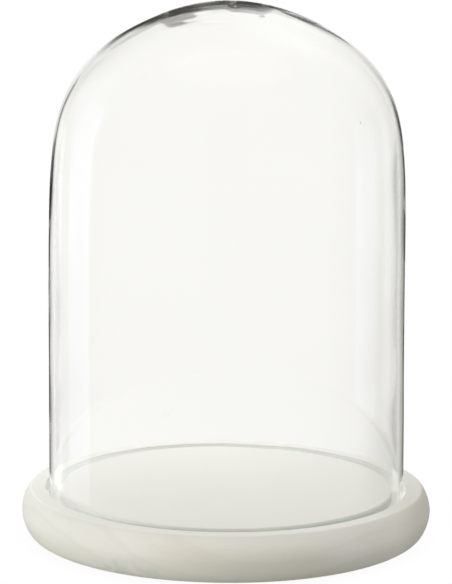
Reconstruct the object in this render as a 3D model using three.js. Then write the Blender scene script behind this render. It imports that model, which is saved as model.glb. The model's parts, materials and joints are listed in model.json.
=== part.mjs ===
// Display cloche: a blown clear-glass dome, open at the bottom, that stands in
// an annular groove turned into a round whitewashed wooden base. Four felt
// discs under the base keep it off the table top.
//
// Millimetres, +Z up. The origin is the centre of the plane the object rests
// on (the undersides of the felt discs), and +Z is the axis of revolution.
import * as THREE from 'three';

// ---------------------------------------------------------------- dimensions
const SEGMENTS = 72;             // facets round the base and the dome

// felt discs
const PAD_COUNT = 4;
const PAD_SEGMENTS = 24;
const PAD_RADIUS = 11;
const PAD_THICK = 2;
const PAD_EASE = 0.35;           // rounded lower edge of a felt disc
const PAD_CIRCLE = 112;          // radius of the circle the discs stand on
const FIRST_PAD_ANGLE = Math.PI / 4;

// turned base
const BASE_THICK = 34;
const BASE_RADIUS = 150;         // at the widest point of the bulged edge
const BASE_WIDEST_BELOW_TOP = 16.25;
const SHOULDER_RADIUS = 142.6;   // crisp ridge where the level top ends
const UNDERSIDE_RADIUS = 141.5;
const UNDERSIDE_EASE = 0.6;      // small chamfer round the underside
const BULGE_POWER = 1.68;        // 2 is an ellipse, 1 a straight chamfer
const BULGE_STEPS = 9;

// groove that locates the dome
const GROOVE_OUTER = 132.4;
const GROOVE_INNER = 121.5;
const GROOVE_DEPTH = 7;
const GROOVE_EASE = 0.5;         // broken edges at the mouth of the groove

// levels
const BASE_BOTTOM = PAD_THICK;
const BASE_TOP = BASE_BOTTOM + BASE_THICK;
const GROOVE_FLOOR = BASE_TOP - GROOVE_DEPTH;

// glass dome
const RIM_CLEARANCE = 0.3;       // between the rim and the groove floor
const RIM_LEVEL = GROOVE_FLOOR + RIM_CLEARANCE;
const WALL_THICK = 3.0;
const CROWN_THICK = 3.8;         // blown glass gathers towards the crown
const RIM_RADIUS = WALL_THICK / 2;               // the rim is a half round
const WALL_START = RIM_LEVEL + RIM_RADIUS + 1;   // the wall's points lie above this
const CROWN_START = BASE_TOP + 215;              // closer points from here up
const THICKENING_START = BASE_TOP + 240;
const WALL_POINTS = 6;
const CROWN_POINTS = 21;
const OUTER_AXIS_GAP = 0.5;      // points this near the axis give way to the
const INNER_AXIS_GAP = 3;        // apex point, outside and inside
const SPLINE_STEPS = 24;         // per span

// Control points of the outside of the dome, a uniform cubic B-spline:
// [radius, height above the base's top]. The last one mirrors the one before
// the axis, so that the crown is level on the axis.
const DOME_OUTLINE = [
  [130.42, -80], [130.18, -20], [129.94, 40], [129.49, 100], [129.34, 150],
  [129.14, 190], [128.66, 220], [127.17, 246.71], [123.33, 275.15],
  [111.68, 302.25], [91.28, 323.79], [66.06, 339.25], [41.14, 349.56],
  [19.64, 354.76], [0, 356.26], [-19.64, 354.76],
];

// ------------------------------------------------------------------- helpers
// A solid of revolution about +Z from a profile of [radius, height] that starts
// and ends on the axis, with material to the left of the direction of travel.
function turned(profile, segments) {
  const points = profile.map(([r, z]) => new THREE.Vector2(r, z));
  return new THREE.LatheGeometry(points, segments).rotateX(Math.PI / 2);
}

// Part of a circle, as profile points, angles in degrees.
function arc(centreR, centreZ, radius, from, to, steps) {
  const points = [];
  for (let i = 0; i <= steps; i += 1) {
    const angle = THREE.MathUtils.degToRad(from + ((to - from) * i) / steps);
    points.push([centreR + radius * Math.cos(angle), centreZ + radius * Math.sin(angle)]);
  }
  return points;
}

// Quarter of a superellipse from the pole [poleR, poleZ] to the widest point
// [wideR, wideZ]: the flattened bulge of the base's edge.
function bulge(poleR, poleZ, wideR, wideZ) {
  const points = [];
  for (let i = 0; i <= BULGE_STEPS; i += 1) {
    const angle = ((Math.PI / 2) * i) / BULGE_STEPS;
    const across = Math.sin(angle) ** (2 / BULGE_POWER);
    // rounding can take the cosine of a right angle just below zero
    const along = Math.max(Math.cos(angle), 0) ** (2 / BULGE_POWER);
    points.push([poleR + (wideR - poleR) * across, wideZ + (poleZ - wideZ) * along]);
  }
  return points;
}

// Sum of four control points from index first on, each times its weight.
function blend(controls, first, weights) {
  let r = 0;
  let z = 0;
  weights.forEach((weight, j) => {
    r += weight * controls[first + j][0];
    z += weight * controls[first + j][1];
  });
  return { r, z };
}

// Points of a uniform cubic B-spline, with the unit normal to its left.
function spline(controls) {
  const points = [];
  const spans = controls.length - 3;
  for (let i = 0; i < spans; i += 1) {
    // only the last span includes its end point
    const count = i === spans - 1 ? SPLINE_STEPS + 1 : SPLINE_STEPS;
    for (let k = 0; k < count; k += 1) {
      const t = k / SPLINE_STEPS;
      const { r, z } = blend(controls, i, [
        (1 - t) ** 3,
        3 * t ** 3 - 6 * t * t + 4,
        -3 * t ** 3 + 3 * t * t + 3 * t + 1,
        t ** 3,
      ].map((weight) => weight / 6));
      const tangent = blend(controls, i, [
        -((1 - t) ** 2) / 2,
        (3 * t * t - 4 * t) / 2,
        (-3 * t * t + 2 * t + 1) / 2,
        (t * t) / 2,
      ]);
      const length = Math.hypot(tangent.r, tangent.z);
      points.push({ r, z, normalR: -tangent.z / length, normalZ: tangent.r / length });
    }
  }
  return points;
}

// The wanted number of points, spread evenly over a list, keeping both ends.
function thin(list, wanted) {
  return Array.from({ length: wanted }, (_, i) => (
    list[Math.round((i * (list.length - 1)) / (wanted - 1))]
  ));
}

// ---------------------------------------------------------------- glass dome
function domeProfile() {
  // outside, from the rim upwards to the axis
  const outline = spline(DOME_OUTLINE).map((p) => ({ ...p, z: p.z + BASE_TOP }));
  const apex = outline.at(-1).z;
  const wall = outline.filter((p) => p.z > WALL_START && p.z < CROWN_START);
  const crown = outline.filter((p) => p.z >= CROWN_START && p.r > OUTER_AXIS_GAP);
  const outer = [...thin(wall, WALL_POINTS), ...thin(crown, CROWN_POINTS)];

  // the inside is offset along the normal, which points into the dome
  const inner = outer.map((p) => {
    const gathered = THREE.MathUtils.smoothstep(p.z, THICKENING_START, apex);
    const thickness = WALL_THICK + (CROWN_THICK - WALL_THICK) * gathered;
    return [p.r + p.normalR * thickness, p.z + p.normalZ * thickness];
  }).filter(([r]) => r > INNER_AXIS_GAP);

  return [
    [0, apex - CROWN_THICK],
    ...inner.reverse(),
    ...arc(outer[0].r - RIM_RADIUS, RIM_LEVEL + RIM_RADIUS, RIM_RADIUS, 180, 360, 8),
    ...outer.map((p) => [p.r, p.z]),
    [0, apex],
  ];
}

// --------------------------------------------------------------- wooden base
function baseProfile() {
  const widest = BASE_TOP - BASE_WIDEST_BELOW_TOP;
  const upper = bulge(SHOULDER_RADIUS, BASE_TOP, BASE_RADIUS, widest);
  const lower = bulge(UNDERSIDE_RADIUS, BASE_BOTTOM + UNDERSIDE_EASE, BASE_RADIUS, widest);
  const easeLevel = BASE_TOP - GROOVE_EASE;
  return [
    [0, BASE_BOTTOM],
    [UNDERSIDE_RADIUS - UNDERSIDE_EASE, BASE_BOTTOM],
    ...lower.slice(0, -1),       // the upper half brings the widest point
    ...upper.reverse(),
    ...arc(GROOVE_OUTER + GROOVE_EASE, easeLevel, GROOVE_EASE, 90, 180, 2),
    [GROOVE_OUTER, GROOVE_FLOOR],
    [GROOVE_INNER, GROOVE_FLOOR],
    ...arc(GROOVE_INNER - GROOVE_EASE, easeLevel, GROOVE_EASE, 0, 90, 2),
    [0, BASE_TOP],
  ];
}

// ---------------------------------------------------------------- felt discs
function padProfile() {
  return [
    [0, 0],
    ...arc(PAD_RADIUS - PAD_EASE, PAD_EASE, PAD_EASE, -90, 0, 3),
    [PAD_RADIUS, PAD_THICK],
    [0, PAD_THICK],
  ];
}

// ----------------------------------------------------------------- materials
const glass = () => new THREE.MeshStandardMaterial({
  color: 0xf2f4f2, roughness: 0.02, metalness: 0, transparent: true, opacity: 0.35,
});
const whitewash = () => new THREE.MeshStandardMaterial({
  color: 0xdedcd2, roughness: 0.55, metalness: 0,
});
const felt = () => new THREE.MeshStandardMaterial({
  color: 0xb9b5aa, roughness: 0.95, metalness: 0,
});

// -------------------------------------------------------------------- object
const group = new THREE.Group();

function addTurned(name, profile, segments, material) {
  const mesh = new THREE.Mesh(turned(profile, segments), material);
  mesh.name = name;
  group.add(mesh);
  return mesh;
}

addTurned('wooden_base', baseProfile(), SEGMENTS, whitewash());
addTurned('glass_dome', domeProfile(), SEGMENTS, glass());

for (let i = 0; i < PAD_COUNT; i += 1) {
  const pad = addTurned(`felt_pad_${i + 1}`, padProfile(), PAD_SEGMENTS, felt());
  const angle = FIRST_PAD_ANGLE + (i * 2 * Math.PI) / PAD_COUNT;
  pad.position.set(PAD_CIRCLE * Math.cos(angle), PAD_CIRCLE * Math.sin(angle), 0);
}

export default group;
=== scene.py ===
import json
import math

import bmesh
import bpy
import numpy as np
from mathutils import Matrix, Vector

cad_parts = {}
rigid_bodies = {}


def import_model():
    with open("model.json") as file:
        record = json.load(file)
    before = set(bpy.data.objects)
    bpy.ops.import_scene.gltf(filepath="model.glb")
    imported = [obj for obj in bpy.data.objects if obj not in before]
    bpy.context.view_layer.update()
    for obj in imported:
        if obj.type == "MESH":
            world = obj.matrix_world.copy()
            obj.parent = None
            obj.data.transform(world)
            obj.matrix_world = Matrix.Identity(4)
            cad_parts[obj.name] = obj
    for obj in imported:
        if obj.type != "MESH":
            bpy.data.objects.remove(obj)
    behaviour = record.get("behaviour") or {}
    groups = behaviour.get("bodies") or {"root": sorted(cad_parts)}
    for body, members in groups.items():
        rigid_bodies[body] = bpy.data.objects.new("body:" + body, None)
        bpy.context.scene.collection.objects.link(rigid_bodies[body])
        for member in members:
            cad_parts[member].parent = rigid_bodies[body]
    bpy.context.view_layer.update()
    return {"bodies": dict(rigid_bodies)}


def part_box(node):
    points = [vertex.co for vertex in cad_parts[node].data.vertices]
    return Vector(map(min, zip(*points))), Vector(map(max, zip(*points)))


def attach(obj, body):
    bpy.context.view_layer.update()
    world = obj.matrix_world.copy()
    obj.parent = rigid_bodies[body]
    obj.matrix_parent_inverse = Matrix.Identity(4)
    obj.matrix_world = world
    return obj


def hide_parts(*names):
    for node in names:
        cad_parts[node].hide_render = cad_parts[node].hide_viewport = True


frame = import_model()

MM = 0.001

# ------------------------------------------------------------------ key levels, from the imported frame
base_lo, base_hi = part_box("wooden_base")
dome_lo, dome_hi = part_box("glass_dome")
TOP = base_hi.z                 # level top of the base
UNDER = base_lo.z               # underside of the base
RBASE = (base_hi.x - base_lo.x) / 2
RIM_Z = dome_lo.z
APEX_Z = dome_hi.z

# the turned section, in metres (same design dimensions as the CAD)
SHOULDER_R = 142.6 * MM
UNDERSIDE_R = 141.5 * MM
WIDEST_Z = TOP - 16.25 * MM
GROOVE_RO = 132.4 * MM
GROOVE_RI = 121.5 * MM
GROOVE_Z = TOP - 7.0 * MM
DOME_OUTLINE = [
    [130.42, -80], [130.18, -20], [129.94, 40], [129.49, 100], [129.34, 150],
    [129.14, 190], [128.66, 220], [127.17, 246.71], [123.33, 275.15],
    [111.68, 302.25], [91.28, 323.79], [66.06, 339.25], [41.14, 349.56],
    [19.64, 354.76], [0, 356.26], [-19.64, 354.76],
]
WALL_T = 3.0 * MM
CROWN_T = 3.8 * MM


# ------------------------------------------------------------------ smooth seeded noise on arrays of points
def waves(points, scale, seed, count=14, spread=0.55):
    """Sum of plane waves of wavelength about `scale`, mean 0, range about -1..1."""
    rng = np.random.default_rng(seed)
    out = np.zeros(len(points))
    for _ in range(count):
        d = rng.normal(size=3)
        d /= np.linalg.norm(d)
        k = 2 * math.pi / (scale * (1 + spread * rng.uniform(-1, 1)))
        out += np.sin(points @ (d * k) + rng.uniform(0, 2 * math.pi))
    return out / math.sqrt(count) / 1.1


# ------------------------------------------------------------------ lathed meshes with real displacement
def lathe(name, loops, segments, closed_loop):
    """loops: array (rings, 2) of radius and height. A ring of radius 0 becomes a pole.
    Returns the object and, for each vertex, its ring index and angle."""
    rings = len(loops)
    ang = np.linspace(0, 2 * math.pi, segments, endpoint=False)
    verts, ring_of, angle_of, start = [], [], [], []
    n = 0
    for i, (r, z) in enumerate(loops):
        start.append(n)
        if r < 1e-9:
            verts.append([[0.0, 0.0, z]])
            ring_of.append([i])
            angle_of.append([0.0])
            n += 1
        else:
            verts.append(np.stack([r * np.cos(ang), r * np.sin(ang), np.full(segments, z)], -1))
            ring_of.append(np.full(segments, i))
            angle_of.append(ang)
            n += segments
    verts = np.concatenate([np.asarray(v, float) for v in verts])
    ring_of = np.concatenate([np.asarray(v) for v in ring_of])
    angle_of = np.concatenate([np.asarray(v, float) for v in angle_of])
    faces = []
    idx = np.arange(segments)
    nxt = (idx + 1) % segments
    pairs = [(i, i + 1) for i in range(rings - 1)]
    if closed_loop:
        pairs.append((rings - 1, 0))
    for a, b in pairs:
        pa, pb = loops[a][0] < 1e-9, loops[b][0] < 1e-9
        if pa and pb:
            continue
        if pa:
            faces += [(start[a], start[b] + int(nxt[k]), start[b] + int(k)) for k in idx]
        elif pb:
            faces += [(start[a] + int(k), start[a] + int(nxt[k]), start[b]) for k in idx]
        else:
            faces += [
                (start[a] + int(k), start[a] + int(nxt[k]), start[b] + int(nxt[k]), start[b] + int(k))
                for k in idx
            ]
    mesh = bpy.data.meshes.new(name)
    mesh.from_pydata([tuple(v) for v in verts], [], faces)
    mesh.update()
    ob = bpy.data.objects.new(name, mesh)
    bpy.context.scene.collection.objects.link(ob)
    mesh.polygons.foreach_set("use_smooth", np.ones(len(mesh.polygons), bool))
    return ob, verts, ring_of, angle_of


def set_verts(ob, verts):
    ob.data.vertices.foreach_set("co", np.asarray(verts, np.float32).ravel())
    ob.data.update()


def volume_sign(ob):
    m = ob.data
    m.calc_loop_triangles()
    v = np.zeros(len(m.vertices) * 3)
    m.vertices.foreach_get("co", v)
    v = v.reshape(-1, 3)
    t = np.zeros(len(m.loop_triangles) * 3, int)
    m.loop_triangles.foreach_get("vertices", t)
    t = t.reshape(-1, 3)
    return float(np.einsum("ij,ij->i", v[t[:, 0]], np.cross(v[t[:, 1]], v[t[:, 2]])).sum()) / 6


def face_out(ob):
    if volume_sign(ob) < 0:
        ob.data.flip_normals()


def arc(r0, z0, radius, a0, a1, steps):
    a = np.radians(np.linspace(a0, a1, steps + 1))
    return [(r0 + radius * math.cos(t), z0 + radius * math.sin(t)) for t in a]


def bulge(pole, wide, power, steps):
    out = []
    for i in range(steps + 1):
        t = math.pi / 2 * i / steps
        s, c = max(math.sin(t), 0) ** (2 / power), max(math.cos(t), 0) ** (2 / power)
        out.append((pole[0] + (wide[0] - pole[0]) * s, wide[1] + (pole[1] - wide[1]) * c))
    return out


# ------------------------------------------------------------------ glass dome
def spline(controls, steps):
    c = np.asarray(controls, float)
    out = []
    for i in range(len(c) - 3):
        p0, p1, p2, p3 = c[i:i + 4]
        last = i + 4 == len(c)
        for t in np.linspace(0, 1, steps, endpoint=False).tolist() + ([1.0] if last else []):
            out.append(((1 - t) ** 3 * p0 + (3 * t ** 3 - 6 * t * t + 4) * p1
                        + (-3 * t ** 3 + 3 * t * t + 3 * t + 1) * p2 + t ** 3 * p3) / 6)
    return np.array(out)


def resample(line, spacing):
    s = np.r_[0, np.cumsum(np.hypot(*np.diff(line, axis=0).T))]
    n = max(int(round(s[-1] / spacing)), 2)
    t = np.linspace(0, s[-1], n + 1)
    return np.stack([np.interp(t, s, line[:, 0]), np.interp(t, s, line[:, 1])], -1)


def ease(v, a, b):
    t = np.clip((v - a) / (b - a), 0, 1)
    return t * t * (3 - 2 * t)


def gather(x, y):
    """Extra glass left inside the crown where it was cracked off the pipe: two uneven plateaus with abrupt edges."""
    x, y = x / MM, y / MM
    start = np.interp(x, [-60, -46, -36, -27, -14], [-37, -41, -45.5, -48.5, -51]) + 0.5 * np.sin(x / 2.1)
    end = np.interp(y, [-51, -49.5, -47, -44.5, -38, -32, -25, -18], [-5, -5, -12, -22, -22, -26, -32, -32])
    end = end + 0.4 * np.sin(y / 1.7)
    wide = np.interp(y, [-38, -25], [15, 30])
    s = y - start
    left = 0.025 * np.clip(s, 0, 8) + 0.014 * np.clip(s - 8, 0, 9) + 0.008 * np.clip(s - 17, 0, 14)
    left = left * (1 - ease(x, end, end + wide)) * ease(x, -51, -38)
    s = y + 33 - 1.5 * ease(x, 10, 20) - 1.0 * np.sin(x / 5.0)
    right = (0.016 * np.clip(s, 0, 7) + 0.024 * np.clip(s - 7, 0, 9)) * ease(x, -6, 6) * (1 - ease(x, 18, 30))
    return np.maximum(left, right) * (1 - ease(y, 6, 34)) * MM


# seeds, the tiny air bubbles of blown glass: centre in mm inside the wall, radius across and along the wall
SEEDS = [
    ((-59.7, -83.1, 345.1), 0.30, 0.4), ((90.7, -77.7, 314.2), 0.32, 1.3), ((110.4, -63.0, 208.9), 0.30, 0.8),
    ((-43.1, -120.8, 115.9), 0.16, 0.9), ((-39.8, -121.9, 116.4), 0.15, 1.1), ((40.5, -21.2, 381.9), 0.55, 0.8),
    ((45.0, -6.3, 382.0), 0.35, 0.4), ((22.4, -36.2, 382.8), 2.40, 1.1),
]


def add_seeds(ob):
    """Closed hollow shells inside the wall, facing into the bubble."""
    bm = bmesh.new()
    bm.from_mesh(ob.data)
    for (x, y, z), across, along in SEEDS:
        place = Vector((x, y, z)) * MM
        out = Vector((x, y, 0)).normalized()
        slope = math.radians(62) if z > 370 else 0.0      # lie along the wall
        up = Vector((-out.x * math.sin(slope), -out.y * math.sin(slope), math.cos(slope)))
        side = out.cross(up).normalized()
        frame_m = Matrix((side, up.cross(side), up)).transposed().to_4x4()
        m = Matrix.Translation(place) @ frame_m @ Matrix.Diagonal((across * MM, min(across * 0.8, 0.5) * MM, along * MM, 1))
        made = bmesh.ops.create_uvsphere(bm, u_segments=14, v_segments=10, radius=1.0, matrix=m)
        faces = {f for v in made["verts"] for f in v.link_faces}
        bmesh.ops.recalc_face_normals(bm, faces=list(faces))
        bmesh.ops.reverse_faces(bm, faces=list(faces))
        for f in faces:
            f.smooth = True
    bm.to_mesh(ob.data)
    bm.free()
    ob.data.update()


def make_dome():
    curve = spline(DOME_OUTLINE, 60) * MM
    curve[:, 1] += TOP
    half = WALL_T / 2
    curve = curve[(curve[:, 1] > RIM_Z + half) & (curve[:, 0] >= 0)]
    low = curve[:, 1] < TOP + 318 * MM
    wall = resample(curve[low], 3.6 * MM)
    crown = resample(np.vstack([wall[-1:], curve[~low]]), 1.3 * MM)      # the gather needs finer rings
    outer = np.vstack([wall, crown[1:]])
    outer[-1, 0] = 0.0
    d = np.gradient(outer, axis=0)
    d /= np.linalg.norm(d, axis=1, keepdims=True)
    normal_in = np.stack([-d[:, 1], d[:, 0]], -1)
    h = (outer[:, 1] - (TOP + 240 * MM)) / (APEX_Z - (TOP + 240 * MM))
    h = np.clip(h, 0, 1)
    thick = WALL_T + (CROWN_T - WALL_T) * h * h * (3 - 2 * h)
    inner = outer + normal_in * thick[:, None]
    keep = inner[:, 0] > 0.8 * MM
    inner_pts = inner[keep]
    inner_idx = np.nonzero(keep)[0]
    outer_idx = np.r_[np.arange(len(wall)), np.arange(len(wall) + 1, len(outer) - 1, 2), len(outer) - 1]
    centre = outer[0, 0] - half
    rim = np.array(arc(centre, RIM_Z + half, half, 180, 360, 14))[1:-1]
    loops = np.vstack([
        [[0.0, APEX_Z - CROWN_T]],
        inner_pts[::-1],
        rim,
        outer[outer_idx],
    ])
    segments = 300
    ob, verts, ring, ang = lathe("dome_glass", loops, segments, False)
    n_in = 1 + len(inner_pts)
    n_rim = len(rim)
    is_inner = ring < n_in
    is_outer = ring >= n_in + n_rim
    # unit normals towards the axis side, for every vertex
    prof_n = np.zeros((len(loops), 2))
    prof_n[0] = (0, -1)
    prof_n[1:n_in] = normal_in[inner_idx][::-1]
    prof_n[n_in + n_rim:] = normal_in[outer_idx]
    for k in range(n_rim):
        v = np.array([rim[k][0] - centre, rim[k][1] - (RIM_Z + half)])
        prof_n[n_in + k] = -v / np.linalg.norm(v)
    pn = prof_n[ring]
    radial = np.stack([np.cos(ang), np.sin(ang), np.zeros_like(ang)], -1)
    nrm = radial * pn[:, :1] + np.array([0, 0, 1.0]) * pn[:, 1:]
    z = verts[:, 2]
    rad = np.hypot(verts[:, 0], verts[:, 1])
    up = np.clip((z - (TOP + 10 * MM)) / (60 * MM), 0, 1)       # no waviness at the rim
    # faint waviness of blown glass, a little different on the two faces
    out_w = 0.055 * MM * waves(verts, 130 * MM, 11) + 0.005 * MM * waves(verts, 50 * MM, 12)
    in_w = 0.06 * MM * waves(verts, 110 * MM, 21) + 0.006 * MM * waves(verts, 45 * MM, 22)
    shift = np.where(is_outer, out_w, 0.0) + np.where(is_inner, in_w, 0.0)
    shift = shift + np.where(is_inner & (z > TOP + 290 * MM), gather(verts[:, 0], verts[:, 1]), 0.0)
    verts = verts + nrm * (shift * up)[:, None]
    # blown free, so the dome is very slightly out of true
    hh = np.clip((z - RIM_Z) / (APEX_Z - RIM_Z), 0, 1)
    verts[:, 0] += (0.15 - 1.0 * np.clip(np.sin(math.pi * hh), 0, 1) ** 1.5 + 0.35 * hh) * MM
    set_verts(ob, verts)
    face_out(ob)
    add_seeds(ob)
    return ob


# ------------------------------------------------------------------ turned wooden base
def make_base():
    e, g = 0.7 * MM, 0.55 * MM
    upper = bulge((SHOULDER_R, TOP), (RBASE, WIDEST_Z), 1.68, 34)
    lower = bulge((UNDERSIDE_R, UNDER + e), (RBASE, WIDEST_Z), 1.68, 30)
    loops = [(0.0, UNDER)]
    loops += [(r, UNDER) for r in np.linspace(4 * MM, UNDERSIDE_R - e, 30)]
    loops += arc(UNDERSIDE_R - e, UNDER + e, e, -90, -25, 4)[1:]
    loops += lower[1:-1]
    loops += upper[::-1]
    loops += [(r, TOP) for r in np.linspace(SHOULDER_R - 0.5 * MM, GROOVE_RO + g + 0.1 * MM, 8)]
    loops += arc(GROOVE_RO + g, TOP - g, g, 90, 180, 6)
    loops += [(GROOVE_RO, z) for z in np.linspace(TOP - 1.2 * MM, GROOVE_Z + 0.8 * MM, 5)]
    loops += arc(GROOVE_RO - 0.6 * MM, GROOVE_Z + 0.6 * MM, 0.6 * MM, 0, -90, 4)
    loops += [(r, GROOVE_Z) for r in np.linspace(GROOVE_RO - 1.2 * MM, GROOVE_RI + 1.2 * MM, 5)]
    loops += arc(GROOVE_RI + 0.6 * MM, GROOVE_Z + 0.6 * MM, 0.6 * MM, -90, -180, 4)
    loops += [(GROOVE_RI, z) for z in np.linspace(GROOVE_Z + 0.8 * MM, TOP - 1.2 * MM, 5)]
    loops += arc(GROOVE_RI - g, TOP - g, g, 0, 90, 6)
    loops += [(r, TOP) for r in np.linspace(GROOVE_RI - g - 0.4 * MM, 3 * MM, 34)]
    loops += [(0.0, TOP)]
    loops = np.array(loops)
    ob, verts, ring, ang = lathe("turned_base", loops, 320, False)
    z = verts[:, 2]
    rad = np.hypot(verts[:, 0], verts[:, 1])
    # sanded by hand after turning: the bulge is not perfectly round
    side = np.clip((rad - SHOULDER_R) / (4 * MM), 0, 1) * np.clip((z - UNDER) / (4 * MM), 0, 1)
    radial = np.stack([np.cos(ang), np.sin(ang), np.zeros_like(ang)], -1)
    w = -0.10 * MM + 0.07 * MM * waves(verts, 60 * MM, 51)
    verts = verts + radial * (np.minimum(w, 0) * side)[:, None]
    set_verts(ob, verts)
    face_out(ob)
    return ob


# ------------------------------------------------------------------ felt pads
def make_pad(name, node, seed):
    lo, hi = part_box(node)
    cx, cy = (lo.x + hi.x) / 2, (lo.y + hi.y) / 2
    r, t = (hi.x - lo.x) / 2, hi.z - lo.z
    e = 0.4 * MM
    loops = [(0.0, 0.0)] + [(q, 0.0) for q in np.linspace(1.2 * MM, r - e, 8)]
    loops += arc(r - e, e, e, -90, 0, 5)[1:]
    loops += [(r, q) for q in np.linspace(e + 0.3 * MM, t - 0.2 * MM, 4)]
    loops += [(r - 0.15 * MM, t)] + [(q, t) for q in np.linspace(r - 1.2 * MM, 1.2 * MM, 6)] + [(0.0, t)]
    ob, verts, ring, ang = lathe(name, np.array(loops), 96, False)
    radial = np.stack([np.cos(ang), np.sin(ang), np.zeros_like(ang)], -1)
    rad = np.hypot(verts[:, 0], verts[:, 1])
    place = verts + np.array([cx, cy, 0.0])
    edge = np.clip((rad - (r - 1.0 * MM)) / (1.0 * MM), 0, 1)
    fuzz = -0.06 * MM + 0.06 * MM * waves(place, 1.6 * MM, seed) + 0.05 * MM * waves(place, 5 * MM, seed + 1)
    verts = verts + radial * (np.minimum(fuzz, 0.0) * edge)[:, None]
    # pressed face: a faint nap
    low = (verts[:, 2] < 0.02 * MM)
    verts[:, 2] += np.where(low, np.maximum(0.02 * MM * waves(place, 2.2 * MM, seed + 2), 0), 0)
    verts += np.array([cx, cy, 0.0])
    set_verts(ob, verts)
    face_out(ob)
    return ob


# ------------------------------------------------------------------ node helpers
class Nodes:
    def __init__(self, tree):
        self.t = tree
        self.n = tree.nodes
        self.l = tree.links

    def add(self, kind, **props):
        node = self.n.new(kind)
        for k, v in props.items():
            setattr(node, k, v)
        return node

    def put(self, socket, value):
        if isinstance(value, bpy.types.NodeSocket):
            self.l.new(value, socket)
        elif value is not None:
            socket.default_value = value

    def math(self, op, a, b=None, c=None, clamp=False):
        node = self.add("ShaderNodeMath", operation=op, use_clamp=clamp)
        self.put(node.inputs[0], a)
        if b is not None:
            self.put(node.inputs[1], b)
        if c is not None:
            self.put(node.inputs[2], c)
        return node.outputs[0]

    def step(self, value, lo, hi):
        """0 below lo, 1 above hi, smooth between."""
        node = self.add("ShaderNodeMapRange", interpolation_type="SMOOTHSTEP")
        self.put(node.inputs["Value"], value)
        self.put(node.inputs["From Min"], lo)
        self.put(node.inputs["From Max"], hi)
        return node.outputs[0]

    def remap(self, value, a, b, c, d):
        node = self.add("ShaderNodeMapRange", interpolation_type="LINEAR")
        self.put(node.inputs["Value"], value)
        for k, v in zip(("From Min", "From Max", "To Min", "To Max"), (a, b, c, d)):
            self.put(node.inputs[k], v)
        return node.outputs[0]

    def mix(self, fac, a, b, blend="MIX"):
        node = self.add("ShaderNodeMix", data_type="RGBA", blend_type=blend)
        self.put(node.inputs[0], fac)
        for s, v in ((node.inputs[6], a), (node.inputs[7], b)):
            if isinstance(v, (tuple, list)):
                s.default_value = (*v[:3], 1.0)
            elif isinstance(v, (int, float)):
                s.default_value = (v, v, v, 1.0)
            else:
                self.put(s, v)
        return node.outputs[2]

    def fmix(self, fac, a, b):
        node = self.add("ShaderNodeMix", data_type="FLOAT")
        self.put(node.inputs[0], fac)
        self.put(node.inputs[2], a)
        self.put(node.inputs[3], b)
        return node.outputs[0]

    def noise(self, vec, scale, detail=2.0, rough=0.5, distort=0.0, dims="3D"):
        node = self.add("ShaderNodeTexNoise", noise_dimensions=dims)
        if vec is not None:
            self.put(node.inputs["Vector"], vec)
        self.put(node.inputs["Scale"], scale)
        self.put(node.inputs["Detail"], detail)
        self.put(node.inputs["Roughness"], rough)
        self.put(node.inputs["Distortion"], distort)
        return node.outputs["Fac"]

    def ramp(self, fac, stops, mode="LINEAR"):
        node = self.add("ShaderNodeValToRGB")
        cr = node.color_ramp
        cr.interpolation = mode
        while len(cr.elements) > 1:
            cr.elements.remove(cr.elements[-1])
        first = True
        for pos, col in stops:
            if isinstance(col, (int, float)):
                col = (col, col, col)
            el = cr.elements[0] if first else cr.elements.new(pos)
            el.position = pos
            el.color = (*col[:3], 1.0)
            first = False
        self.put(node.inputs[0], fac)
        return node.outputs[0]

    def mapping(self, vec, loc=(0, 0, 0), rot=(0, 0, 0), scale=(1, 1, 1)):
        node = self.add("ShaderNodeMapping")
        self.put(node.inputs["Vector"], vec)
        node.inputs["Location"].default_value = loc
        node.inputs["Rotation"].default_value = rot
        node.inputs["Scale"].default_value = scale
        return node.outputs[0]

    def bump(self, height, strength, distance, normal=None):
        node = self.add("ShaderNodeBump")
        self.put(node.inputs["Height"], height)
        node.inputs["Strength"].default_value = strength
        node.inputs["Distance"].default_value = distance
        if normal is not None:
            self.put(node.inputs["Normal"], normal)
        return node.outputs[0]


def new_material(name):
    m = bpy.data.materials.new(name)
    m.use_nodes = True
    m.node_tree.nodes.clear()
    return m, Nodes(m.node_tree)


# ------------------------------------------------------------------ materials
def glass_material():
    m, N = new_material("clear_blown_glass")
    out = N.add("ShaderNodeOutputMaterial")
    co = N.add("ShaderNodeTexCoord").outputs["Object"]
    b = N.add("ShaderNodeBsdfPrincipled")
    # a trace of tint that varies slowly through the melt
    melt = N.noise(co, 9.0, 2.0)
    N.put(b.inputs["Base Color"], N.mix(melt, (0.996, 0.995, 0.990), (0.988, 0.990, 0.983)))
    b.inputs["Metallic"].default_value = 0.0
    b.inputs["IOR"].default_value = 1.5
    b.inputs["Transmission Weight"].default_value = 1.0
    # polished, with the faintest handling haze
    haze = N.noise(N.mapping(co, scale=(1, 1, 0.35)), 26.0, 4.0, 0.6)
    N.put(b.inputs["Roughness"], N.remap(haze, 0.55, 0.8, 0.0, 0.010))
    # blown surface: long soft ripples drawn down the wall
    ripple = N.noise(N.mapping(co, scale=(1, 1, 0.22)), 22.0, 1.5, 0.4)
    bump = N.bump(ripple, 0.012, 0.0010)
    N.put(b.inputs["Normal"], bump)
    # light falls through the dome onto the wood; only seen rays bend
    clear = N.add("ShaderNodeBsdfTransparent")
    clear.inputs[0].default_value = (0.962, 0.962, 0.956, 1)
    lp = N.add("ShaderNodeLightPath")
    mix = N.add("ShaderNodeMixShader")
    N.put(mix.inputs[0], N.math("MAXIMUM", lp.outputs["Is Shadow Ray"], lp.outputs["Is Diffuse Ray"]))
    N.l.new(b.outputs[0], mix.inputs[1])
    N.l.new(clear.outputs[0], mix.inputs[2])
    N.l.new(mix.outputs[0], out.inputs["Surface"])
    return m


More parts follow.
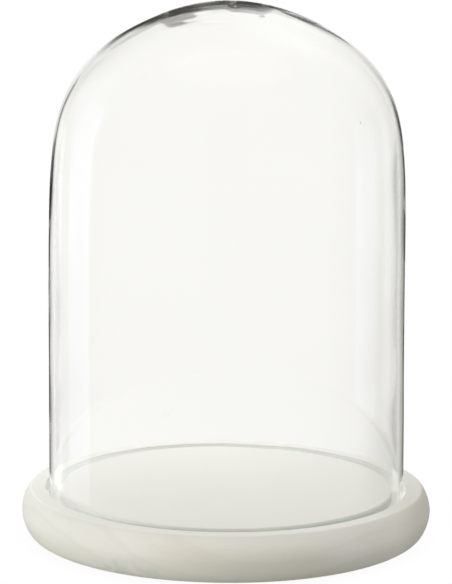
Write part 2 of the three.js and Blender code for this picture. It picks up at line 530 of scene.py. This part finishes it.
def wood_material():
    m, N = new_material("whitewashed_wood")
    out = N.add("ShaderNodeOutputMaterial")
    co = N.add("ShaderNodeTexCoord").outputs["Object"]
    b = N.add("ShaderNodeBsdfPrincipled")
    geo = N.add("ShaderNodeNewGeometry")
    face = N.add("ShaderNodeSeparateXYZ")
    N.l.new(geo.outputs["Normal"], face.inputs[0])
    level = N.step(face.outputs[2], 0.72, 0.97)          # 1 on the level top faces
    # growth rings of a plank that lies along X, seen through the wash
    wob = N.noise(N.mapping(co, scale=(0.5, 1.0, 1.0)), 7.0, 2.0, 0.5)
    fine = N.noise(N.mapping(co, scale=(0.35, 1.0, 1.0)), 60.0, 3.0, 0.55)
    sep = N.add("ShaderNodeSeparateXYZ")
    N.l.new(co, sep.inputs[0])
    x = N.math("ADD", sep.outputs[0], 0.045)
    y = N.math("ADD", sep.outputs[1], 0.055)
    z = N.math("ADD", sep.outputs[2], 0.060)
    bend = N.math("MULTIPLY", N.math("MULTIPLY", x, x), 1.1)
    z = N.math("ADD", z, bend)
    dist = N.math("SQRT", N.math("ADD", N.math("MULTIPLY", y, y), N.math("MULTIPLY", z, z)))
    rings = N.math("ADD", N.math("MULTIPLY", dist, 70.0), N.math("MULTIPLY", wob, 1.7))
    rings = N.math("ADD", rings, N.math("MULTIPLY", fine, 0.22))
    ring = N.math("FRACT", rings)
    ring = N.ramp(ring, [(0.0, 0.10), (0.60, 0.42), (0.84, 1.0), (0.90, 0.35), (1.0, 0.10)], "EASE")
    # pores and fibres along the grain
    fibre = N.noise(N.mapping(co, scale=(0.045, 1.0, 1.0)), 900.0, 3.0, 0.6)
    pores = N.noise(N.mapping(co, scale=(0.10, 1.0, 1.0)), 420.0, 2.0, 0.5)
    # how thickly the wash lies, and where it has drunk in
    wash = N.noise(co, 16.0, 5.0, 0.58, 0.4)
    broad = N.noise(N.mapping(co, loc=(0.3, 0.1, 0.2)), 7.0, 2.0, 0.5)
    speck = N.noise(N.mapping(co, scale=(0.5, 1.0, 1.0)), 150.0, 4.0, 0.65, 0.6)
    top_painted_white = (0.868, 0.864, 0.826)
    side_white = (0.850, 0.832, 0.762)
    side_warm = (0.835, 0.795, 0.708)
    side_cool = (0.818, 0.822, 0.755)
    low_shade_green = (0.795, 0.806, 0.690)
    low = N.math("SUBTRACT", 1.0, N.step(N.math("ADD", sep.outputs[2], N.remap(wash, 0.3, 0.7, -0.005, 0.005)), 0.004, 0.022))
    side = N.mix(N.remap(broad, 0.40, 0.64, 0.0, 1.0), side_white, side_warm)
    side = N.mix(N.math("SUBTRACT", 1.0, N.step(sep.outputs[0], -0.118, -0.068)), side, side_cool)
    # painted shade: the lower part of the side, across the middle in x, is darker and more olive
    low_middle_shade = N.math("MULTIPLY", N.step(sep.outputs[0], -0.070, -0.010),
                 N.math("SUBTRACT", 1.0, N.step(sep.outputs[0], 0.050, 0.090)))
    low_middle_shade = N.math("MULTIPLY", low_middle_shade, N.math("SUBTRACT", 1.0, N.step(sep.outputs[2], 0.021, 0.031)))
    side = N.mix(low_middle_shade, side, (0.890, 0.885, 0.850), "MULTIPLY")
    # painted shade: the side turns darker and greener towards the underside
    side = N.mix(N.math("MULTIPLY", low, 0.85), side, low_shade_green)
    cool = N.math("MULTIPLY", N.remap(speck, 0.50, 0.70, 0.0, 1.0), N.remap(wash, 0.46, 0.62, 0.0, 1.0))
    thin = N.add("ShaderNodeVectorMath", operation="DISTANCE")      # where the wash has run thin, low on the front left
    N.put(thin.inputs[0], N.mapping(co, scale=(1.0, 0.5, 3.2)))
    thin.inputs[1].default_value = (-0.070, -0.0655, 0.024)
    patch = N.math("SUBTRACT", 1.0, N.step(thin.outputs["Value"], 0.012, 0.036))
    cool = N.math("MULTIPLY", cool, N.fmix(low, 0.12, 0.60))
    cool = N.math("MAXIMUM", cool, N.math("MULTIPLY", patch, N.remap(speck, 0.42, 0.62, 0.0, 0.70)))
    side = N.mix(cool, side, (0.645, 0.690, 0.655))
    # painted light: the level top faces, picked by their normal, take the whiter, cooler top colour; the rest takes the
    # side colours
    col = N.mix(level, side, top_painted_white)
    # painted shade: the right end is darker, fully on the side and at 0.62 strength on the level faces
    right_end_shade = N.fmix(level, N.step(sep.outputs[0], 0.118, 0.146),
                  N.math("MULTIPLY", N.step(sep.outputs[0], 0.095, 0.135), 0.62))
    col = N.mix(right_end_shade, col, (0.74, 0.735, 0.705), "MULTIPLY")
    ring_amt = N.fmix(level, 0.25, 0.05)
    col = N.mix(N.math("MULTIPLY", ring, ring_amt), col, (0.70, 0.665, 0.575))
    amt = N.fmix(level, 1.0, 0.45)
    col = N.mix(N.math("MULTIPLY", N.remap(fibre, 0.45, 0.75, 0.0, 0.10), amt), col, (0.64, 0.61, 0.54))
    col = N.mix(N.math("MULTIPLY", N.remap(pores, 0.62, 0.80, 0.0, 0.20), amt), col, (0.56, 0.54, 0.48))
    # the groove: its walls and floor are painted near white, lighter than the rest, as painted light; its inner wall is
    # painted darker as painted shade, less to the left and darker still deeper down
    rad = N.math("SQRT", N.math("ADD", N.math("MULTIPLY", sep.outputs[0], sep.outputs[0]),
                                N.math("MULTIPLY", sep.outputs[1], sep.outputs[1])))
    within = N.math("MULTIPLY", N.step(rad, GROOVE_RI - 0.6 * MM, GROOVE_RI - 0.2 * MM),
                    N.math("SUBTRACT", 1.0, N.step(rad, GROOVE_RO + 0.1 * MM, GROOVE_RO + 0.5 * MM)))
    below = N.math("SUBTRACT", 1.0, N.step(sep.outputs[2], TOP - 0.9 * MM, TOP - 0.3 * MM))
    below = N.math("MULTIPLY", below, N.step(sep.outputs[2], GROOVE_Z - 3 * MM, GROOVE_Z - 1 * MM))   # not the underside
    # painted shade on the inner wall of the groove, weaker to the left and stronger deeper down
    inner_wall_shade = N.math("SUBTRACT", 1.0, N.step(rad, GROOVE_RI + 0.05 * MM, GROOVE_RI + 0.5 * MM))
    deeper_shade = N.math("SUBTRACT", 1.0, N.step(sep.outputs[2], TOP - 2.9 * MM, TOP - 1.3 * MM))
    inner_wall_shade = N.math("MULTIPLY", inner_wall_shade, N.fmix(N.step(sep.outputs[0], -0.105, -0.025), 0.15, 1.0))
    # painted light on the groove's walls and floor, painted shade on its inner wall
    groove_light_and_shade = N.mix(inner_wall_shade, (0.960, 0.980, 0.965), (0.670, 0.690, 0.655))
    groove_light_and_shade = N.mix(N.math("MULTIPLY", inner_wall_shade, deeper_shade), groove_light_and_shade, (0.50, 0.515, 0.48))
    col = N.mix(N.math("MULTIPLY", within, below), col, groove_light_and_shade)
    N.put(b.inputs["Base Color"], col)
    rough = N.math("ADD", N.remap(wash, 0.3, 0.7, 0.38, 0.50), N.math("MULTIPLY", fibre, 0.06))
    N.put(b.inputs["Roughness"], rough)
    b.inputs["IOR"].default_value = 1.48
    h = N.math("ADD", N.math("MULTIPLY", fibre, 0.55), N.math("MULTIPLY", pores, 0.35))
    h = N.math("ADD", h, N.math("MULTIPLY", ring, 0.25))
    bump = N.bump(h, 0.14, 0.0004)
    brush = N.noise(N.mapping(co, scale=(1, 1, 3.0)), 60.0, 3.0, 0.55)
    bump = N.bump(brush, 0.08, 0.0006, bump)
    N.put(b.inputs["Normal"], bump)
    N.l.new(b.outputs[0], out.inputs["Surface"])
    return m


def felt_material():
    m, N = new_material("pressed_felt")
    out = N.add("ShaderNodeOutputMaterial")
    co = N.add("ShaderNodeTexCoord").outputs["Object"]
    b = N.add("ShaderNodeBsdfPrincipled")
    hair = N.noise(co, 2600.0, 4.0, 0.7, 1.2)
    clump = N.noise(co, 420.0, 3.0, 0.6)
    col = N.mix(N.remap(clump, 0.35, 0.7, 0.0, 1.0), (0.50, 0.475, 0.425), (0.60, 0.575, 0.52))
    col = N.mix(N.remap(hair, 0.5, 0.75, 0.0, 0.5), col, (0.36, 0.34, 0.30))
    N.put(b.inputs["Base Color"], col)
    N.put(b.inputs["Roughness"], N.remap(hair, 0.3, 0.7, 0.86, 0.98))
    b.inputs["Sheen Weight"].default_value = 0.35
    b.inputs["Sheen Roughness"].default_value = 0.5
    N.put(b.inputs["Normal"], N.bump(N.math("ADD", hair, N.math("MULTIPLY", clump, 0.6)), 0.5, 0.0003))
    N.l.new(b.outputs[0], out.inputs["Surface"])
    return m


def give(ob, material):
    ob.data.materials.clear()
    ob.data.materials.append(material)


# ------------------------------------------------------------------ build the pieces
dome = make_dome()
give(dome, glass_material())
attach(dome, "dome")
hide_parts("glass_dome")

base = make_base()
give(base, wood_material())
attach(base, "base")
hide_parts("wooden_base")

felt = felt_material()
for i in range(4):
    node = "felt_pad_%d" % (i + 1)
    pad = make_pad("felt_disc_%d" % (i + 1), node, 70 + 5 * i)
    give(pad, felt)
    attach(pad, "base")
    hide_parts(node)


# ------------------------------------------------------------------ stage: pale floor
def make_floor():
    mesh = bpy.data.meshes.new("floor")
    s = 30.0
    mesh.from_pydata([(-s, -s, 0), (s, -s, 0), (s, s, 0), (-s, s, 0)], [], [(0, 1, 2, 3)])
    ob = bpy.data.objects.new("floor", mesh)
    bpy.context.scene.collection.objects.link(ob)
    m, N = new_material("pale_floor")
    out = N.add("ShaderNodeOutputMaterial")
    # painted shadow: the floor glows white and ambient occlusion darkens it close to the base
    contact_shadow_ao = N.add("ShaderNodeAmbientOcclusion", samples=12)
    contact_shadow_ao.inputs["Distance"].default_value = 0.10
    v = N.remap(contact_shadow_ao.outputs["AO"], 0.0, 0.70, 0.90, 1.0)
    e = N.add("ShaderNodeEmission")
    N.put(e.inputs[0], N.mix(v, (0.55, 0.55, 0.52), (1.0, 1.0, 1.0)))
    e.inputs[1].default_value = 1.0
    N.l.new(e.outputs[0], out.inputs["Surface"])
    give(ob, m)
    # it is only the ground of the picture: the light comes from the studio below
    ob.visible_diffuse = False
    ob.visible_glossy = False
    ob.visible_transmission = False
    ob.visible_shadow = False
    return ob


floor = make_floor()

# ------------------------------------------------------------------ stage: the studio, as a world that turns with the camera
PITCH = math.radians(10.5)
# Brightness of the studio round the object, at ten heights (degrees of elevation).
# Azimuth 0 is straight behind the object, negative is left, +-180 is behind the camera:
# a white backdrop behind, a large soft light on the left, a smaller one low on the right,
# another high on the right, a plain ceiling and a pale table.
BANDS = [
    (-80, [(-180, .50), (-90, .64), (0, .70), (90, .44), (180, .50)]),
    (-50, [(-180, .62), (-97, .70), (-65, .95), (-46, 1.05), (-34, 1.25), (-26, 1.10), (-10, 1.00), (0, .90),
           (15, .80), (30, .72), (60, .62), (97, .52), (180, .62)]),
    (-27, [(-180, .70), (-97, .79), (-85, .97), (-65, 1.05), (-55, 1.16), (-46, 1.20), (-34, 1.08), (-30, .97),
           (-22, .75), (-15, .73), (-8, .85), (0, .95), (5, .80), (9, .60), (20, .52), (30, .60), (46, .65),
           (55, .80), (65, .63), (75, .50), (97, .62), (180, .70)]),
    (-18, [(-180, .73), (-97, .82), (-81.2, .92), (-80.2, 1.08), (-57, 1.04), (-54, .98), (-44, 1.22), (-40, 1.32),
           (-34, 1.08), (-30, .90), (-26, .71), (-22, .60), (-17, .46), (-13, .48), (-10, .58), (-7, .82), (-4, .96),
           (0, .97), (4, .93), (6, .70), (9, .50), (12, .34), (17, .37), (23, .44), (28, .57), (34, .75), (39, .85),
           (45, .68), (55, .62), (75, .51), (97, .70), (180, .73)]),
    (-8, [(-180, .75), (-81.2, .98), (-80.2, 1.62), (-72, 1.50), (-63, 1.52), (-58.5, 1.50), (-55.5, 1.12), (-48, 1.18),
          (-44, 1.65), (-40, 1.92), (-34, 1.66), (-30, 1.20), (-26, .86), (-22, .70), (-17, .62), (-10, .75), (-7, .88),
          (-5, 1.0), (0, .99), (3, .99), (6, .89), (8, .70), (13, .52), (20, .42), (26, .55), (30, .75), (34, 1.03),
          (39, 1.02), (44, .82), (50, .64), (65, .56), (180, .75)]),
    (4, [(-180, .74), (-97, .81), (-81.2, .98), (-80.2, 1.60), (-58, 1.48), (-54, 1.15), (-48, 1.15), (-40, 1.26), (-34, 1.15), (-30, 1.03),
         (-26, .80), (-20, .72), (-17, .84), (-10, .95), (-4, 1.0), (1, .98), (5, .95), (11, .83), (16, .64),
         (20, .54), (23, .60), (26, .73), (34, .88), (40, .86), (46, .70), (55, .62), (65, .60), (85, .50),
         (97, .66), (180, .74)]),
    (15, [(-180, .74), (-97, .79), (-81.2, .98), (-80.2, 1.55), (-65, 1.42), (-55, 1.26), (-40, 1.22), (-34, 1.03),
          (-30, .88), (-26, .80), (-22, .88), (-13, .80), (-5, .85), (5, .80), (13, .72), (18, .83), (23, .80),
          (30, 1.02), (41, .96), (46, .84), (55, .78), (65, .60), (85, .66), (180, .74)]),
    (28, [(-180, .74), (-97, .82), (-75, 1.02), (-55, 1.08), (-40, .94), (-10, .92), (0, .95), (10, 1.05),
          (15, 1.10), (30, 1.00), (46, .85), (75, .72), (180, .74)]),
    (46, [(-180, .80), (-97, .92), (-60, 1.0), (-22, .96), (0, .95), (15, 1.05), (26, 1.05), (46, .90),
          (85, .80), (180, .80)]),
    (80, [(-180, .98), (-90, 1.02), (90, .92), (180, .98)]),
]
# dark gaps round the backdrop, as bars from one (azimuth, elevation) to another: half width, softness, brightness
GAPS = [
    ((-13.6, -14.0), (-13.2, -9.5), 2.6, 2.2, .08),
    ((-13.0, -8.6), (-21.6, -6.2), 1.2, 1.6, .04),
    ((-22.3, -6.0), (-22.6, 5.5), 1.0, 2.0, .16),
    ((13.4, -15.0), (13.2, -9.0), 2.6, 2.2, .10),
    ((14.5, -7.5), (19.6, -1.0), 2.2, 2.2, .08),
    ((19.6, -1.0), (19.0, 3.0), 0.6, 2.4, .40),
    ((-8.6, 7.4), (-12.4, 11.2), 0.9, 2.0, .26),
    ((-7.0, 6.2), (3.0, 6.2), 2.2, 1.2, .06),
    ((-7.0, 12.0), (2.0, 12.0), 4.0, 1.5, .06),
    ((9.5, 8.0), (9.5, 16.0), 1.5, 1.5, .10),
    ((-7.0, 20.0), (0.0, 20.0), 5.0, 3.0, .08),
    ((-5.0, 28.0), (-2.0, 28.0), 3.0, 3.0, .10),
]


# light on the wood, as soft lobes: azimuth, elevation, brightness
LOBES = [
    (180, 25, 0.50), (-135, 25, 1.26), (0, 25, 0.15), (90, 25, 1.45), (-90, -30, 0.19), (45, -30, 0.60),
    (-115, 0, 1.20),
]


def make_world():
    w = bpy.data.worlds.new("studio")
    bpy.context.scene.world = w
    w.use_nodes = True
    w.node_tree.nodes.clear()
    N = Nodes(w.node_tree)
    out = N.add("ShaderNodeOutputWorld")
    cam_co = N.add("ShaderNodeTexCoord").outputs["Camera"]
    sep = N.add("ShaderNodeSeparateXYZ")
    N.l.new(cam_co, sep.inputs[0])
    x, yc, zc = sep.outputs[0], sep.outputs[1], sep.outputs[2]
    # undo the camera's downward pitch, so that the studio stands level
    c, s = math.cos(PITCH), math.sin(PITCH)
    fwd = N.math("ADD", N.math("MULTIPLY", zc, c), N.math("MULTIPLY", yc, s))
    up = N.math("SUBTRACT", N.math("MULTIPLY", yc, c), N.math("MULTIPLY", zc, s))
    length = N.math("SQRT", N.math("ADD", N.math("ADD", N.math("MULTIPLY", x, x), N.math("MULTIPLY", fwd, fwd)),
                                   N.math("MULTIPLY", up, up)))
    el = N.math("MULTIPLY", N.math("ARCSINE", N.math("DIVIDE", up, length)), 180 / math.pi)
    az = N.math("MULTIPLY", N.math("ARCTAN2", x, fwd), 180 / math.pi)
    turn = N.remap(az, -180, 180, 0, 1)
    peak = 2.5
    level = None
    for k, (height, stops) in enumerate(BANDS):
        ring = N.math("MULTIPLY", N.ramp(turn, [((a + 180) / 360, v / peak) for a, v in stops]), peak)
        level = ring if k == 0 else N.fmix(N.remap(el, BANDS[k - 1][0], height, 0, 1), level, ring)
    place = N.add("ShaderNodeCombineXYZ")
    N.put(place.inputs[0], az)
    N.put(place.inputs[1], el)
    for (a0, e0), (a1, e1), half, soft, value in GAPS:
        rel = N.add("ShaderNodeVectorMath", operation="SUBTRACT")
        N.put(rel.inputs[0], place.outputs[0])
        rel.inputs[1].default_value = (a0, e0, 0)
        along = N.add("ShaderNodeVectorMath", operation="DOT_PRODUCT")
        N.put(along.inputs[0], rel.outputs[0])
        d2 = (a1 - a0) ** 2 + (e1 - e0) ** 2
        along.inputs[1].default_value = ((a1 - a0) / d2, (e1 - e0) / d2, 0)
        t = N.math("ADD", along.outputs["Value"], 0.0, clamp=True)
        foot = N.add("ShaderNodeVectorMath", operation="SCALE")
        foot.inputs[0].default_value = (a1 - a0, e1 - e0, 0)
        N.put(foot.inputs["Scale"], t)
        off = N.add("ShaderNodeVectorMath", operation="DISTANCE")
        N.put(off.inputs[0], rel.outputs[0])
        N.put(off.inputs[1], foot.outputs[0])
        cover = N.math("SUBTRACT", 1.0, N.step(off.outputs["Value"], half, half + soft))
        level = N.fmix(cover, level, N.math("MINIMUM", level, value))
    warm = N.mix(N.math("MULTIPLY", level, 0.9, clamp=True), (1.0, 0.985, 0.895), (1.0, 0.996, 0.987))
    # the large soft light on the left is cooler than the backdrop
    cool = N.math("MULTIPLY", N.step(level, 1.05, 1.45), N.math("SUBTRACT", 1.0, N.step(az, -57.0, -51.0)))
    warm = N.mix(cool, warm, (0.985, 1.0, 1.12))
    # what the glass shows
    seen = N.add("ShaderNodeBackground")
    N.put(seen.inputs[0], warm)
    N.put(seen.inputs[1], level)
    # what falls on the wood and the felt: the same studio, smoothed to wide lobes
    ray = N.add("ShaderNodeCombineXYZ")
    for k, value in enumerate((x, fwd, up)):
        N.put(ray.inputs[k], N.math("DIVIDE", value, length))
    flood = None
    for a, e, weight in LOBES:
        a, e = math.radians(a), math.radians(e)
        dot = N.add("ShaderNodeVectorMath", operation="DOT_PRODUCT")
        N.put(dot.inputs[0], ray.outputs[0])
        dot.inputs[1].default_value = (math.sin(a) * math.cos(e), math.cos(a) * math.cos(e), math.sin(e))
        cosine = N.math("ADD", dot.outputs["Value"], 0.0, clamp=True)
        one = N.math("MULTIPLY", N.math("POWER", cosine, 4.0), weight)
        one.node.label = "lobe"
        flood = one if flood is None else N.math("ADD", flood, one)
    soft = N.add("ShaderNodeBackground")
    soft.inputs[0].default_value = (1.0, 0.995, 0.985, 1)
    N.put(soft.inputs[1], flood)
    white = N.add("ShaderNodeBackground")
    white.inputs[0].default_value = (1, 1, 1, 1)
    lp = N.add("ShaderNodeLightPath")
    sharp = N.math("MAXIMUM", lp.outputs["Is Glossy Ray"], lp.outputs["Is Transmission Ray"])
    sharp = N.math("MAXIMUM", sharp, lp.outputs["Is Singular Ray"])
    mix = N.add("ShaderNodeMixShader")
    N.put(mix.inputs[0], sharp)
    N.l.new(soft.outputs[0], mix.inputs[1])
    N.l.new(seen.outputs[0], mix.inputs[2])
    top = N.add("ShaderNodeMixShader")
    N.put(top.inputs[0], lp.outputs["Is Camera Ray"])
    N.l.new(mix.outputs[0], top.inputs[1])
    N.l.new(white.outputs[0], top.inputs[2])
    N.l.new(top.outputs[0], out.inputs["Surface"])
    w.cycles.sampling_method = "MANUAL"
    w.cycles.sample_map_resolution = 1024


make_world()


# near soft lights, so that the level faces fall off to the front right: name, place, watts
SOFT_LIGHTS = [
    ("soft_left", (-0.62, 0.50, 0.78), 1.6),
    ("soft_back", (-0.12, 0.85, 0.50), 7.8),
]
stand = bpy.data.objects.new("light_stand", None)
bpy.context.scene.collection.objects.link(stand)


def make_soft_light(name, place, watts):
    data = bpy.data.lights.new(name, "AREA")
    data.shape = "DISK"
    data.size = 0.50
    data.energy = watts
    data.color = (1.0, 0.995, 0.985)
    ob = bpy.data.objects.new(name, data)
    bpy.context.scene.collection.objects.link(ob)
    ob.location = place
    aim = Vector((0, 0, TOP)) - ob.location
    ob.rotation_mode = "QUATERNION"
    ob.rotation_quaternion = aim.to_track_quat("-Z", "Y")
    ob.visible_camera = False
    ob.visible_glossy = False
    ob.visible_transmission = False
    ob.parent = stand


for item in SOFT_LIGHTS:
    make_soft_light(*item)

# ------------------------------------------------------------------ camera
cam_data = bpy.data.cameras.new("camera")
cam = bpy.data.objects.new("camera", cam_data)
bpy.context.scene.collection.objects.link(cam)
bpy.context.scene.camera = cam
F_PX, DIST, HEIGHT, ROLL, OX = 2897.0, 2.071, 0.528, math.radians(0.42), 1.49
cam_data.sensor_width = 36.0
cam_data.lens = F_PX / 584.0 * 36.0
cam_data.clip_start, cam_data.clip_end = 0.05, 100.0
cam.location = (-OX * math.hypot(DIST, HEIGHT) / F_PX, -DIST, TOP + HEIGHT)
cam.rotation_mode = "QUATERNION"
cam.rotation_quaternion = (Matrix.Rotation(math.pi / 2 - PITCH, 3, "X") @ Matrix.Rotation(ROLL, 3, "Z")).to_quaternion()

# the near lights turn with the camera, as the studio does
turn = stand.constraints.new("LOCKED_TRACK")
turn.target = cam
turn.track_axis, turn.lock_axis = "TRACK_NEGATIVE_Y", "LOCK_Z"

# when the dome is lifted the camera steps back, so that both pieces stay in the picture
follow = cam.constraints.new("TRANSFORM")
follow.target = frame["bodies"]["dome"]
follow.map_from, follow.map_to = "LOCATION", "LOCATION"
follow.from_min_z, follow.from_max_z = 0.0, 0.4
follow.map_to_x_from, follow.map_to_y_from, follow.map_to_z_from = "X", "Z", "Z"
follow.to_min_y, follow.to_max_y = 0.0, -2.35 * math.cos(PITCH)
follow.to_min_z, follow.to_max_z = 0.0, 2.35 * math.sin(PITCH) + 0.2
follow.mix_mode = "ADD"

# ------------------------------------------------------------------ colour and light paths
sc = bpy.context.scene
sc.view_settings.view_transform = "Standard"
sc.view_settings.look = "None"
sc.view_settings.exposure = 0.0
sc.view_settings.gamma = 1.0
sc.cycles.max_bounces = 32
sc.cycles.transmission_bounces = 32
sc.cycles.glossy_bounces = 12
sc.cycles.transparent_max_bounces = 16
sc.cycles.use_denoising = True

bpy.context.view_layer.update()
